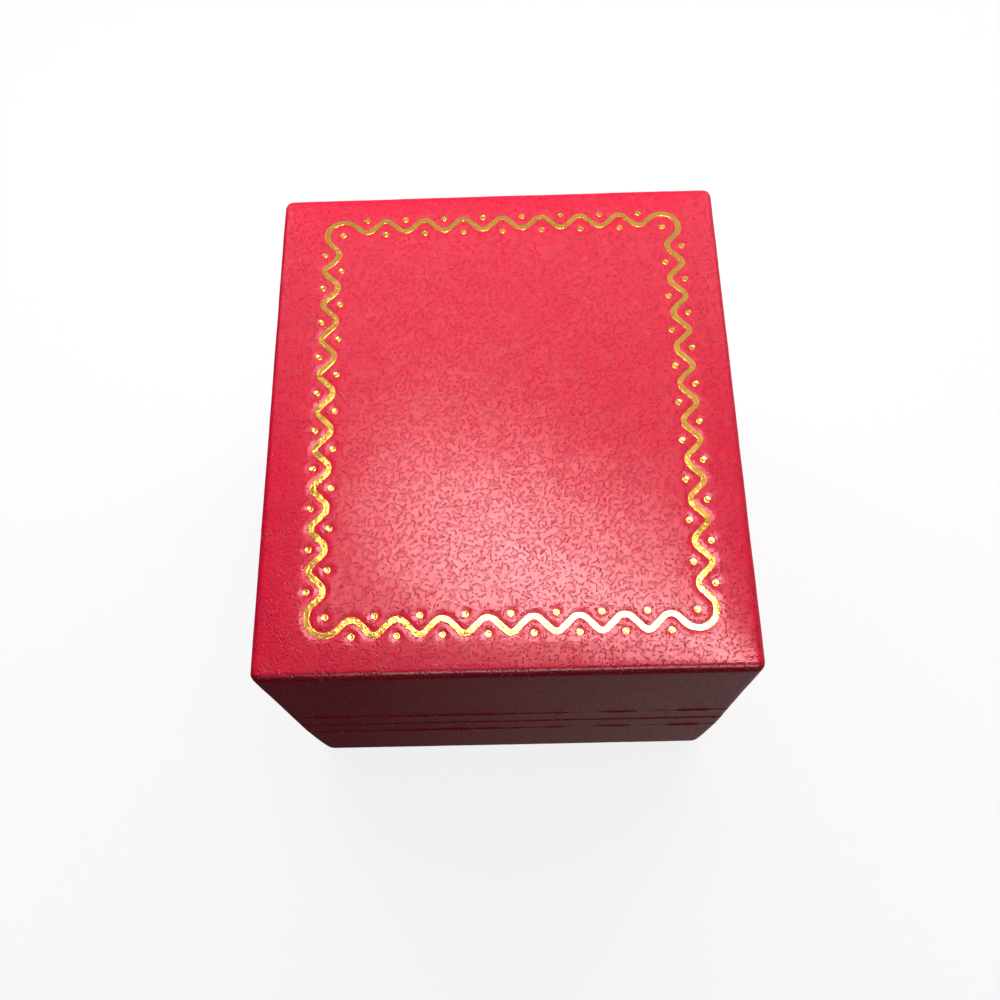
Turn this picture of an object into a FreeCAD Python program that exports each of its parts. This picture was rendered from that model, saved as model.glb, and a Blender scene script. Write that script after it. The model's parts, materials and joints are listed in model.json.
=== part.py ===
import FreeCAD, Part
import math
import os

# Hinged ring box in grained leatherette, with a stamped gold border on its lid.
# Millimetres. The origin is the middle of the bottom, +Z is up and the front faces -Y.
# The box is shown shut. The lid turns back about an axis along X, at the rear of the seam.

Vector = FreeCAD.Vector

# Outer form
WIDTH = 48.0
DEPTH = 55.0
HEIGHT = 40.0
SEAM_Z = 17.3              # middle of the gap between base and lid
SEAM_GAP = 0.3
CORNER_R = 1.2             # upright corners
TOP_EDGE_R = 1.2
BOTTOM_EDGE_R = 1.2
CROWN_R = 650.0            # the lid's top is a shallow dome
LEAST_R = 0.5              # smallest radius inside the shells

# Thicknesses, from the outside in
SKIN = 0.4                 # leatherette
WALL = 1.6                 # moulded shells
LINING = 0.8               # covered card strips on the inner walls
LIP = 1.5                  # the base's strips stand this far above its rim, inside the lid
LIP_CLEARANCE = 0.3        # between them and the lid's rim
CARD = 0.8
PANEL = 0.4                # the part of the bottom panel that stands below the skin
TURN_IN = 3.5              # how far the leatherette goes up or down inside a rim
TURN_UNDER = 7.0           # how far it goes in under the floor
PANEL_MARGIN = 1.6         # bottom panel's edge, in from the box's sides

# Hinge
HINGE_Y = DEPTH / 2 - 1.3
HINGE_OPENING = 95.0       # degrees between the two bevels behind the axis
BARREL_R = 1.0
BARREL_CLEARANCE = 0.25
PIN_R = 0.5
RUNNING_CLEARANCE = 0.05   # between the pin and the lid's knuckles
KNUCKLE_COUNT = 5
KNUCKLE_LENGTH = 6.0
KNUCKLE_GAP = 0.15
LEAF_THICKNESS = 0.4
LEAF_HEIGHT = 5.0
RIVET_X = 10.0
RIVET_RISE = 3.1           # from the hinge axis
RIVET_R = 0.6
RIVET_HEAD_R = 1.1
RIVET_HEAD_HEIGHT = 0.35
SPRING_WIDTH = 8.0
SPRING_THICKNESS = 0.25
SPRING_REACH = 4.0         # from the hinge axis to each end of the bow
SPRING_BOW = 1.5
SPRING_TAB = 0.7

# Ring pad in the base: two rolls with the ring slot between them
PAD_REAR_ROOM = 2.7        # kept free behind the rolls, for the spring
PAD_PLAY = 0.1
PAD_TOP_Z = SEAM_Z + 1.5
SLOT_WIDTH = 0.8
VELVET = 0.5
ROLL_EDGE_R = 4.0

# Pad under the lid's top
LID_CARD_Z = 36.2          # underside of the card
LID_PAD_DEPTH = 5.0
LID_PAD_EDGE_R = 3.2
SATIN = 0.35

# Gold border: a wave with a dot in each of its hollows
FOIL = 0.05
FOIL_SHIFT_X = 0.5
FOIL_SHIFT_Y = 0.2
DOT_PITCH = 4.29
FIRST_DOT = 4.7            # from a corner's dot to the next dot of the inner row
DOTS_ACROSS = 7            # inner dots between the corners, front and back
DOTS_ALONG = 9             # and at the two sides
DOT_R = 0.34
STROKE = 0.6
INNER_CREST_R = 0.93
OUTER_CREST_R = 0.64
CORNER_LOBE_R = 1.77
OUTER_DOT_ROW = 1.93       # distance between the two rows of dots

# Worked out from the sizes above
INNER = SKIN + WALL                        # inner face of the shells, in from the outside
LINED = INNER + SKIN                       # face that the linings are glued to
LID_CLEAR = LINED + LINING                 # face of the lid's linings
BASE_CLEAR = LINED + LIP_CLEARANCE + LINING    # face of the base's linings
LIP_Z = SEAM_Z + SEAM_GAP / 2 + LIP
LID_RIM_Z = SEAM_Z + SEAM_GAP / 2
BASE_RIM_Z = SEAM_Z - SEAM_GAP / 2
FLOOR_Z = PANEL + SKIN + WALL
LEAF_Y = DEPTH / 2 - LINED
BARREL_LENGTH = KNUCKLE_COUNT * KNUCKLE_LENGTH
CROWN_CENTRE = Vector(0, 0, HEIGHT - CROWN_R)
BEYOND = 100.0                             # past every face of the box


# Plain tools

def span(x_low, x_high, y_low, y_high, z_low, z_high):
    """Box between two corners."""
    corner = Vector(x_low, y_low, z_low)
    return Part.makeBox(x_high - x_low, y_high - y_low, z_high - z_low, corner)


def rod(radius, x_low, x_high, y, z):
    """Cylinder along X."""
    return Part.makeCylinder(radius, x_high - x_low, Vector(x_low, y, z), Vector(1, 0, 0))


def rounded_block(inset, z_low, z_high):
    """Block with rounded upright corners, its sides set in from the box's outside."""
    half_x = WIDTH / 2 - inset
    half_y = DEPTH / 2 - inset
    block = span(-half_x, half_x, -half_y, half_y, z_low, z_high)
    uprights = [e for e in block.Edges if abs(e.tangentAt(e.FirstParameter).z) > 0.9]
    return block.makeFillet(max(CORNER_R - inset, LEAST_R), uprights)


def crown(radius):
    """Ball whose top is the lid's dome."""
    ball = Part.makeSphere(radius)
    ball.rotate(Vector(0, 0, 0), Vector(0, 1, 0), 90)
    ball.translate(CROWN_CENTRE)
    return ball


def highest_face(shape):
    return max(shape.Faces, key=lambda face: face.CenterOfMass.z)


def lowest_face(shape):
    return min(shape.Faces, key=lambda face: face.CenterOfMass.z)


# Outer form of the two halves, at any depth below the surface

def lid_form(inset, z_low):
    """The lid's solid form, domed on top, from z_low up."""
    block = rounded_block(inset, z_low, HEIGHT)
    domed = block.common(crown(CROWN_R - inset))
    return domed.makeFillet(max(TOP_EDGE_R - inset, LEAST_R), highest_face(domed).Edges)


def base_form(inset, z_high):
    """The base's solid form, rounded below, up to z_high."""
    block = rounded_block(inset, PANEL + inset, z_high)
    return block.makeFillet(max(BOTTOM_EDGE_R - inset, LEAST_R), lowest_face(block).Edges)


def hinge_relief(depth):
    """What is cut from the rear walls: a V behind the axis and a groove for the barrel."""
    half_angle = math.radians(HINGE_OPENING / 2)
    apex_y = HINGE_Y - depth / math.sin(half_angle)
    reach = DEPTH / 2 + 1 - apex_y
    rise = reach * math.tan(half_angle)
    half_x = WIDTH / 2 + 1
    corners = [
        Vector(-half_x, apex_y, SEAM_Z),
        Vector(-half_x, apex_y + reach, SEAM_Z - rise),
        Vector(-half_x, apex_y + reach, SEAM_Z + rise),
    ]
    outline = Part.makePolygon(corners + corners[:1])
    bevels = Part.Face(outline).extrude(Vector(2 * half_x, 0, 0))
    groove_r = BARREL_R + BARREL_CLEARANCE + depth
    groove_x = BARREL_LENGTH / 2 + BARREL_CLEARANCE + depth
    groove = rod(groove_r, -groove_x, groove_x, HINGE_Y, SEAM_Z)
    return bevels.fuse(groove)


# Hinge

def knuckle_spans(first):
    """X range of every second knuckle, from the one numbered first."""
    spans = []
    for number in range(first, KNUCKLE_COUNT, 2):
        x_low = -BARREL_LENGTH / 2 + number * KNUCKLE_LENGTH
        spans.append((x_low + KNUCKLE_GAP / 2, x_low + KNUCKLE_LENGTH - KNUCKLE_GAP / 2))
    return spans


def rivet(x, z):
    """Rivet through a leaf and a rear wall: domed head inside, flared tail outside."""
    along = Vector(0, 1, 0)
    wall_out = DEPTH / 2 - SKIN
    shank = Part.makeCylinder(RIVET_R, wall_out - LEAF_Y, Vector(x, LEAF_Y, z), along)
    head_y = LEAF_Y - RIVET_HEAD_HEIGHT
    head = Part.makeCylinder(RIVET_HEAD_R, RIVET_HEAD_HEIGHT, Vector(x, head_y, z), along)
    front = min(head.Faces, key=lambda face: face.CenterOfMass.y)
    head = head.makeFillet(RIVET_HEAD_HEIGHT * 0.7, front.Edges)
    flare = RIVET_HEAD_R - RIVET_R
    tail = Part.makeCone(RIVET_R, RIVET_HEAD_R, flare, Vector(x, wall_out - flare, z), along)
    return shank.fuse([head, tail]).removeSplitter()


def rivet_pair(side):
    """The two rivets of one leaf; side is 1 for the lid and -1 for the base."""
    return [rivet(x, SEAM_Z + side * RIVET_RISE) for x in (-RIVET_X, RIVET_X)]


def hinge_leaf(side, own_first, other_first, bore_r, rivets):
    """Flat leaf with its rolled knuckles, notched where the other leaf's knuckles turn."""
    half_x = BARREL_LENGTH / 2
    tip_z = SEAM_Z + side * LEAF_HEIGHT
    z_low = min(SEAM_Z, tip_z)
    z_high = max(SEAM_Z, tip_z)
    leaf = span(-half_x, half_x, LEAF_Y, LEAF_Y + LEAF_THICKNESS, z_low, z_high)
    notch_r = BARREL_R + BARREL_CLEARANCE
    for x_low, x_high in knuckle_spans(other_first):
        x_low = x_low - KNUCKLE_GAP
        x_high = x_high + KNUCKLE_GAP
        leaf = leaf.cut(rod(notch_r, x_low, x_high, HINGE_Y, SEAM_Z))
    for x_low, x_high in knuckle_spans(own_first):
        leaf = leaf.fuse(rod(BARREL_R, x_low, x_high, HINGE_Y, SEAM_Z))
    leaf = leaf.cut(rod(bore_r, -half_x, half_x, HINGE_Y, SEAM_Z))
    return leaf.cut(rivets).removeSplitter()


def snap_spring():
    """Thin strip bowed into the box, its two tabs lying on the leaves."""
    rise = SPRING_REACH
    bow_r = (rise ** 2 + SPRING_BOW ** 2) / (2 * SPRING_BOW)
    foot_y = LEAF_Y - SPRING_THICKNESS
    centre_y = foot_y - SPRING_BOW + bow_r
    half_x = SPRING_WIDTH / 2
    outer = rod(bow_r, -half_x, half_x, centre_y, SEAM_Z)
    hollow = rod(bow_r - SPRING_THICKNESS, -half_x, half_x, centre_y, SEAM_Z)
    bow = outer.cut(hollow).common(span(-half_x, half_x, 0, LEAF_Y, SEAM_Z - rise, SEAM_Z + rise))
    tabs = []
    for side in (-1, 1):
        near = SEAM_Z + side * (rise - SPRING_THICKNESS)
        far = SEAM_Z + side * (rise + SPRING_TAB)
        tabs.append(span(-half_x, half_x, foot_y, LEAF_Y, min(near, far), max(near, far)))
    return bow.fuse(tabs).removeSplitter()


def leaf_pocket(side):
    """Space of a leaf against its wall, left free by the leatherette's turned-in edge."""
    half_x = BARREL_LENGTH / 2 + BARREL_CLEARANCE
    tip_z = SEAM_Z + side * (LEAF_HEIGHT + BARREL_CLEARANCE)
    z_low = min(SEAM_Z, tip_z)
    z_high = max(SEAM_Z, tip_z)
    return span(-half_x, half_x, LEAF_Y - 1, LEAF_Y + LEAF_THICKNESS, z_low, z_high)


# Lid

def lid_shell_and_wrap(rivets):
    """Moulded shell, and the leatherette round it that turns in over its rim."""
    core = lid_form(SKIN, LID_RIM_Z + SKIN).cut(hinge_relief(SKIN))
    hollow = lid_form(INNER, SEAM_Z - 1)
    shell = core.cut(hollow)
    turn_top_z = LID_RIM_Z + TURN_IN
    deep_hollow = hollow.common(span(-BEYOND, BEYOND, -BEYOND, BEYOND, turn_top_z, BEYOND))
    mouth = rounded_block(LINED, SEAM_Z - 1, turn_top_z + 1)
    outer = lid_form(0, LID_RIM_Z).cut(hinge_relief(0))
    wrap = outer.cut([shell, deep_hollow, mouth, leaf_pocket(1)])
    return shell.cut(rivets), wrap


def padded_block(x_half, y_low, y_high, z_low, z_high, edge_r, top, inset):
    """Block rounded on its upper (top 1) or lower (top -1) edges, for a pad and its cover."""
    z_low = z_low + (inset if top < 0 else 0)
    z_high = z_high - (inset if top > 0 else 0)
    block = span(-x_half + inset, x_half - inset, y_low + inset, y_high - inset, z_low, z_high)
    uprights = [e for e in block.Edges if abs(e.tangentAt(e.FirstParameter).z) > 0.9]
    block = block.makeFillet(max(edge_r / 2 - inset, LEAST_R), uprights)
    face = highest_face(block) if top > 0 else lowest_face(block)
    return block.makeFillet(edge_r - inset, face.Edges)


def lid_pad():
    """Card, foam and satin cover of the pad under the lid's top."""
    x_half = WIDTH / 2 - LID_CLEAR - PAD_PLAY
    y_half = DEPTH / 2 - LID_CLEAR - PAD_PLAY
    card = span(-x_half, x_half, -y_half, y_half, LID_CARD_Z, LID_CARD_Z + CARD)
    bottom_z = LID_CARD_Z - LID_PAD_DEPTH
    size = (x_half, -y_half, y_half, bottom_z, LID_CARD_Z, LID_PAD_EDGE_R, -1)
    foam = padded_block(*size, SATIN)
    satin = padded_block(*size, 0).cut(foam)
    return card, foam, satin


# Base

def base_shell_and_wrap(rivets):
    """Moulded tray, and the leatherette round it that turns in over its rim and under its floor."""
    core = base_form(SKIN, BASE_RIM_Z - SKIN).cut(hinge_relief(SKIN))
    hollow = rounded_block(INNER, FLOOR_Z, SEAM_Z + 1)
    shell = core.cut(hollow)
    turn_low_z = BASE_RIM_Z - TURN_IN
    deep_hollow = hollow.common(span(-BEYOND, BEYOND, -BEYOND, BEYOND, -BEYOND, turn_low_z))
    mouth = rounded_block(LINED, turn_low_z - 1, SEAM_Z + 1)
    window = rounded_block(TURN_UNDER, -1, PANEL + SKIN)
    outer = base_form(0, BASE_RIM_Z).cut(hinge_relief(0))
    wrap = outer.cut([shell, deep_hollow, mouth, window, leaf_pocket(-1)])
    return shell.cut(rivets), wrap


def bottom_panel():
    """Panel over the turned-under leatherette, its raised middle filling the window in it."""
    sheet = rounded_block(PANEL_MARGIN, 0, PANEL)
    middle = rounded_block(TURN_UNDER, PANEL, PANEL + SKIN)
    return sheet.fuse(middle).removeSplitter()


def ring_pad():
    """Card, and the foam and velvet of the front and back rolls."""
    x_half = WIDTH / 2 - BASE_CLEAR - PAD_PLAY
    y_front = -(DEPTH / 2 - BASE_CLEAR - PAD_PLAY)
    y_back = LEAF_Y - PAD_REAR_ROOM
    slot_y = (y_front + y_back) / 2
    card = span(-x_half, x_half, y_front, y_back, FLOOR_Z, FLOOR_Z + CARD)
    rolls = []
    for y_low, y_high in ((y_front, slot_y - SLOT_WIDTH / 2), (slot_y + SLOT_WIDTH / 2, y_back)):
        size = (x_half, y_low, y_high, FLOOR_Z + CARD, PAD_TOP_Z, ROLL_EDGE_R, 1)
        foam = padded_block(*size, VELVET)
        rolls.append((foam, padded_block(*size, 0).cut(foam)))
    return card, rolls


# Covered card strips on the inner walls of the lid and of the base

def linings(inset, z_low, z_high, back_low, back_high):
    """Front, back, left and right strips; the back one has its own height, beside the hinge."""
    x_out = WIDTH / 2 - inset
    y_out = DEPTH / 2 - inset
    x_in = x_out - LINING
    y_in = y_out - LINING
    return {
        "front": span(-x_out, x_out, -y_out, -y_in, z_low, z_high),
        "back": span(-x_out, x_out, y_in, y_out, back_low, back_high),
        "left": span(-x_out, -x_in, -y_in, y_in, z_low, z_high),
        "right": span(x_in, x_out, -y_in, y_in, z_low, z_high),
    }


# Gold border

BORDER_HALF_X = FIRST_DOT + (DOTS_ACROSS - 1) / 2 * DOT_PITCH
BORDER_HALF_Y = FIRST_DOT + (DOTS_ALONG - 1) / 2 * DOT_PITCH
SIN_45 = math.sin(math.radians(45))
# The flanks run at 45 degrees, and the last one on each side is tangent to the corner lobe.
INNER_CREST = (
    math.sqrt(2) * CORNER_LOBE_R
    - (FIRST_DOT - DOT_PITCH / 2)
    + INNER_CREST_R * SIN_45
    - INNER_CREST_R * (1 - SIN_45)
)
FLANK = DOT_PITCH / 2 / SIN_45 - INNER_CREST_R - OUTER_CREST_R
WAVE_HEIGHT = (INNER_CREST_R + OUTER_CREST_R) * (1 - SIN_45) + FLANK * SIN_45
OUTER_CREST = INNER_CREST + WAVE_HEIGHT


def border_point(side, along, outward):
    """Point on one side of the border: along it, and outward from the inner row of dots."""
    away = BORDER_HALF_Y if side % 2 == 0 else BORDER_HALF_X
    point = FreeCAD.Rotation(Vector(0, 0, 1), 90 * side).multVec(Vector(along, -away - outward, 0))
    return point + Vector(FOIL_SHIFT_X, FOIL_SHIFT_Y, 0)


def border_side(side):
    """Half length of a side of the border, and how many inner dots it has."""
    if side % 2 == 0:
        return BORDER_HALF_X, DOTS_ACROSS
    return BORDER_HALF_Y, DOTS_ALONG


def crest(side, along, outward, radius, angles, facing):
    """Three points of an arc; angles are from the outward (facing 1) or inward (-1) direction."""
    points = []
    for angle in angles:
        turn = math.radians(angle)
        step = Vector(radius * math.sin(turn), facing * radius * math.cos(turn), 0)
        points.append(border_point(side, along + step.x, outward + step.y))
    return points


def wave_outline(offset):
    """Closed wire that keeps a constant distance outside the wave's centre line."""
    arcs = []
    for side in range(4):
        half, count = border_side(side)
        for number in range(count + 1):
            along = -half + FIRST_DOT + (number - 0.5) * DOT_PITCH
            inner_centre = INNER_CREST + INNER_CREST_R
            arcs.append(crest(side, along, inner_centre, INNER_CREST_R - offset, (-45, 0, 45), -1))
            if number < count:
                outer_centre = OUTER_CREST - OUTER_CREST_R
                along = along + DOT_PITCH / 2
                arcs.append(crest(side, along, outer_centre, OUTER_CREST_R + offset, (-45, 0, 45), 1))
        arcs.append(crest(side, half, 0, CORNER_LOBE_R + offset, (-45, 45, 135), 1))
    edges = []
    for number, points in enumerate(arcs):
        edges.append(Part.Arc(*points).toShape())
        following = arcs[(number + 1) % len(arcs)]
        edges.append(Part.LineSegment(points[2], following[0]).toShape())
    return Part.Wire(edges)


def stamped(flat_face):
    """Foil of a flat outline, lying on the lid's dome."""
    low = HEIGHT - 2
    flat_face.translate(Vector(0, 0, low))
    column = flat_face.extrude(Vector(0, 0, 3))
    return column.common(crown(CROWN_R + FOIL)).cut(crown(CROWN_R))


def gold_wave():
    inside = stamped(Part.Face(wave_outline(-STROKE / 2)))
    outside = stamped(Part.Face(wave_outline(STROKE / 2)))
    return outside.cut(inside)


def gold_dots():
    """Inner row, with the corners' dots, and outer row, halfway between them."""
    centres = []
    for side in range(4):
        half, count = border_side(side)
        centres.append(border_point(side, half, 0))
        for number in range(count):
            centres.append(border_point(side, -half + FIRST_DOT + number * DOT_PITCH, 0))
        for number in range(count + 1):
            along = -half + FIRST_DOT + (number - 0.5) * DOT_PITCH
            centres.append(border_point(side, along, OUTER_DOT_ROW))
    dots = []
    for centre in centres:
        circle = Part.makeCircle(DOT_R, centre)
        dots.append(stamped(Part.Face(Part.Wire([circle]))))
    return dots


def save(name, shape):
    if isinstance(shape, list):
        shape = Part.makeCompound([solid for item in shape for solid in item.Solids])
    solids = shape.Solids
    if len(solids) == 1:
        shape = solids[0]
    shape.exportStep("parts/" + name + ".step")
    box = shape.BoundBox
    print("%-24s solids %3d  volume %9.2f  valid %s  z %.2f to %.2f" % (
        name, len(solids), shape.Volume, shape.isValid(), box.ZMin, box.ZMax))


def main():
    os.makedirs("parts", exist_ok=True)

    base_rivets = rivet_pair(-1)
    lid_rivets = rivet_pair(1)
    base_shell, base_wrap = base_shell_and_wrap(base_rivets)
    lid_shell, lid_wrap = lid_shell_and_wrap(lid_rivets)
    save("base_shell", base_shell)
    save("base_wrap", base_wrap)
    save("bottom_panel", bottom_panel())
    save("lid_shell", lid_shell)
    save("lid_wrap", lid_wrap)

    save("base_hinge_leaf", hinge_leaf(-1, 0, 1, PIN_R, base_rivets))
    save("lid_hinge_leaf", hinge_leaf(1, 1, 0, PIN_R + RUNNING_CLEARANCE, lid_rivets))
    save("base_hinge_rivets", base_rivets)
    save("lid_hinge_rivets", lid_rivets)
    save("hinge_pin", rod(PIN_R, -BARREL_LENGTH / 2, BARREL_LENGTH / 2, HINGE_Y, SEAM_Z))
    save("snap_spring", snap_spring())

    card, rolls = ring_pad()
    save("ring_pad_card", card)
    for place, (foam, velvet) in zip(("front", "back"), rolls):
        save("ring_pad_" + place + "_foam", foam)
        save("ring_pad_" + place + "_velvet", velvet)
    card, foam, satin = lid_pad()
    save("lid_pad_card", card)
    save("lid_pad_foam", foam)
    save("lid_pad_satin", satin)

    hinge_room = LEAF_HEIGHT + 2 * BARREL_CLEARANCE
    base_inset = LINED + LIP_CLEARANCE
    base_strips = linings(base_inset, FLOOR_Z, LIP_Z, FLOOR_Z, SEAM_Z - hinge_room)
    for place, strip in base_strips.items():
        save("base_lining_" + place, strip)
    lid_low_z = LIP_Z + LIP_CLEARANCE
    lid_top_z = LID_CARD_Z + CARD
    lid_strips = linings(LINED, lid_low_z, lid_top_z, SEAM_Z + hinge_room, lid_top_z)
    for place, strip in lid_strips.items():
        save("lid_lining_" + place, strip)

    save("gold_foil_wave", gold_wave())
    save("gold_foil_dots", gold_dots())


main()
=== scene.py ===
import json
import math

import bmesh
import bpy
import numpy as np
from mathutils import Matrix, Vector
from mathutils.bvhtree import BVHTree
from mathutils.kdtree import KDTree


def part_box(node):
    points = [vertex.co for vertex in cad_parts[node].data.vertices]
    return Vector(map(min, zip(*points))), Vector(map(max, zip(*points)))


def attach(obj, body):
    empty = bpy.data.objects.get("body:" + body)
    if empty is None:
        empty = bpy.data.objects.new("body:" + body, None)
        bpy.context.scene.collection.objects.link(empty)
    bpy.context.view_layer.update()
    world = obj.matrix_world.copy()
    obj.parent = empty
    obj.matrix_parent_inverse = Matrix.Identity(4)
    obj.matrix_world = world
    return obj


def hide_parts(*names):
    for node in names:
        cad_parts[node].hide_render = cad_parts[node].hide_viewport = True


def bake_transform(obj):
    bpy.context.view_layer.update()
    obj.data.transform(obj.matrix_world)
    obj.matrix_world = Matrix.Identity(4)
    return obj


# Hinged ring box. Lengths in this script are millimetres, and MM turns them into metres.
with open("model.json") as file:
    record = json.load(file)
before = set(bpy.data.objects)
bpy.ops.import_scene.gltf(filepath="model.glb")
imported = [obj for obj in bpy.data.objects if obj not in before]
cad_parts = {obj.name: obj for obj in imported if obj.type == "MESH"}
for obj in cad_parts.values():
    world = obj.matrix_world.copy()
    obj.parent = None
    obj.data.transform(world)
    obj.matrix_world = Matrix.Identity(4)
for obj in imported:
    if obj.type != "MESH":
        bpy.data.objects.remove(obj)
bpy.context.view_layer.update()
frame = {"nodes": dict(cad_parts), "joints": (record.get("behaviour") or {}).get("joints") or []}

MM = 0.001


def node_box(node):
    """Lowest and highest corner of a CAD node, in millimetres."""
    low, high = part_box(node)
    return np.array(low) / MM, np.array(high) / MM


# Sizes from the frame
LID_LOW, LID_HIGH = node_box("lid_wrap")
BASE_LOW, BASE_HIGH = node_box("base_wrap")
WIDTH = LID_HIGH[0] - LID_LOW[0]
DEPTH = LID_HIGH[1] - LID_LOW[1]
TOP_Z = 40.0
LID_RIM_Z = LID_LOW[2]
BASE_RIM_Z = BASE_HIGH[2]
BASE_LOW_Z = BASE_LOW[2]
HINGE_Y = frame["joints"][0]["pos_m"][1] / MM
SEAM_Z = frame["joints"][0]["pos_m"][2] / MM

# Form of the leatherette
CORNER_R = 0.9                 # upright corners
FOOT_CORNER_R = 1.7            # the same at the base's bottom
TOP_EDGE_R = 0.8
BOTTOM_EDGE_R = 1.5
EDGE_Z = 39.3                  # top surface along its straight edges
EDGE_BAND = 6.0                # over which the top falls off towards its edges
EDGE_FALL = 0.32
SKIN = 0.4
TURN_IN = 3.5
TURN_UNDER = 7.0
INNER_FACE = 2.4               # turned-in leatherette, in from the outside
CREASE_FROM_SEAM = 4.1
CREASE_RISE = 0.12
CREASE_ROOM = 0.35             # with closer rows, above and below the crease
CREASE_STEP = 0.045            # between those rows
ROW_STEP = 0.5                 # between the other rows of a wall
RIM_BAND = 1.0                 # of wall next to the rim, left to the rim's own rings
INNER_CORNER_R = 0.5
WAVE_STEP = 0.14               # between points of the gold wave

# Hinge gap in the rear rims
BEVEL_SLOPE = math.tan(math.radians(47.5))
GROOVE_R = 1.25
GROOVE_HALF_X = 15.3
LEAF_ROOM = 1.93               # turned-in skin stays this near the outside, clear of the leaf

# Gold border, as in the part
BORDER_LOW, BORDER_HIGH = node_box("gold_foil_wave")
BORDER_CENTRE = (BORDER_LOW[:2] + BORDER_HIGH[:2]) / 2
DOT_PITCH = 4.29
FIRST_DOT = 4.7
DOTS_ACROSS = 7
DOTS_ALONG = 9
DOT_R = 0.34
STROKE = 0.6
INNER_CREST_R = 0.93
OUTER_CREST_R = 0.64
CORNER_LOBE_R = 1.77
OUTER_DOT_ROW = 1.93

# Camera of the reference view
CAMERA_PLACE = Vector((1.36, -49.65, 134.2))
CAMERA_YAW = math.radians(2.42)
CAMERA_TILT = math.radians(22.73)
CAMERA_ROLL = math.radians(-3.66)
CAMERA_LENS = 37.5
SENSOR = 36.0


# Camera, lights and floor

BOX_MIDDLE = (0, 0, 0.035)     # metres, where the lamps point
BEHIND = (0.3, 0.75, 0.59)
LOW_RIGHT = (0.85, 0.0, -0.5)

def make_camera():
    data = bpy.data.cameras.new("camera")
    data.lens = CAMERA_LENS
    data.sensor_width = SENSOR
    data.clip_start = 0.01
    data.clip_end = 10
    camera = bpy.data.objects.new("camera", data)
    bpy.context.scene.collection.objects.link(camera)
    turn = Matrix.Rotation(CAMERA_YAW, 4, "Z") @ Matrix.Rotation(CAMERA_TILT, 4, "X")
    turn = turn @ Matrix.Rotation(CAMERA_ROLL, 4, "Z")
    camera.matrix_world = Matrix.Translation(CAMERA_PLACE * MM) @ turn
    bpy.context.scene.camera = camera


def area_light(name, place, target, size, watts, hidden_from=None):
    """Lamp in metres and watts, which may be hidden from diffuse or glossy rays."""
    data = bpy.data.lights.new(name, "AREA")
    data.shape = "RECTANGLE"
    data.size, data.size_y = size
    data.energy = watts
    lamp = bpy.data.objects.new(name, data)
    bpy.context.scene.collection.objects.link(lamp)
    aim = (Vector(target) - Vector(place)).to_track_quat("-Z", "Y")
    lamp.matrix_world = Matrix.Translation(Vector(place)) @ aim.to_matrix().to_4x4()
    lamp.visible_camera = False
    if hidden_from:
        setattr(lamp, "visible_" + hidden_from, False)
    return lamp


def lights_only(lamp, pieces):
    """Keeps a lamp's light on the given pieces."""
    receivers = bpy.data.collections.new(lamp.name + "_receivers")
    for piece in pieces:
        receivers.objects.link(piece)
    lamp.light_linking.receiver_collection = receivers


def make_world(front, back, right, seen):
    """Surroundings: dim in front, brighter up behind and low on the right, and pale where seen."""
    world = bpy.data.worlds.new("studio")
    world.use_nodes = True
    nodes, links = world.node_tree.nodes, world.node_tree.links
    direction = nodes.new("ShaderNodeTexCoord").outputs["Generated"]

    def level(axis, low, high, to_low, to_high):
        """Brightness that grows along an axis."""
        along = nodes.new("ShaderNodeVectorMath")
        along.operation = "DOT_PRODUCT"
        along.inputs[1].default_value = axis
        links.new(direction, along.inputs[0])
        grown = nodes.new("ShaderNodeMapRange")
        limits = {"From Min": low, "From Max": high, "To Min": to_low, "To Max": to_high}
        for socket, value in limits.items():
            grown.inputs[socket].default_value = value
        links.new(along.outputs["Value"], grown.inputs["Value"])
        return grown.outputs["Result"]

    both = nodes.new("ShaderNodeMath")
    links.new(level(BEHIND, 0.3, 1.0, front, back), both.inputs[0])
    links.new(level(LOW_RIGHT, 0.35, 0.8, 0.0, right), both.inputs[1])
    pick = nodes.new("ShaderNodeMix")
    pick.inputs["B"].default_value = seen
    links.new(nodes.new("ShaderNodeLightPath").outputs["Is Camera Ray"], pick.inputs["Factor"])
    links.new(both.outputs["Value"], pick.inputs["A"])
    links.new(pick.outputs["Result"], nodes["Background"].inputs["Strength"])
    nodes["Background"].inputs["Color"].default_value = (1, 1, 1, 1)
    bpy.context.scene.world = world


def make_floor():
    """Pale floor that takes a soft shadow and throws no light back on the box."""
    half = 1.5
    mesh = bpy.data.meshes.new("floor")
    corners = [(-half, -half, 0), (half, -half, 0), (half, half, 0), (-half, half, 0)]
    mesh.from_pydata(corners, [], [(0, 1, 2, 3)])
    floor = bpy.data.objects.new("floor", mesh)
    bpy.context.scene.collection.objects.link(floor)
    material = bpy.data.materials.new("floor")
    material.use_nodes = True
    shader = material.node_tree.nodes["Principled BSDF"]
    shader.inputs["Base Color"].default_value = (0.14, 0.14, 0.14, 1)
    shader.inputs["Roughness"].default_value = 0.9
    shader.inputs["Emission Color"].default_value = (1, 1, 1, 1)
    shader.inputs["Emission Strength"].default_value = 0.84
    mesh.materials.append(material)
    floor.visible_diffuse = False
    floor.visible_glossy = False


# Material tools

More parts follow.
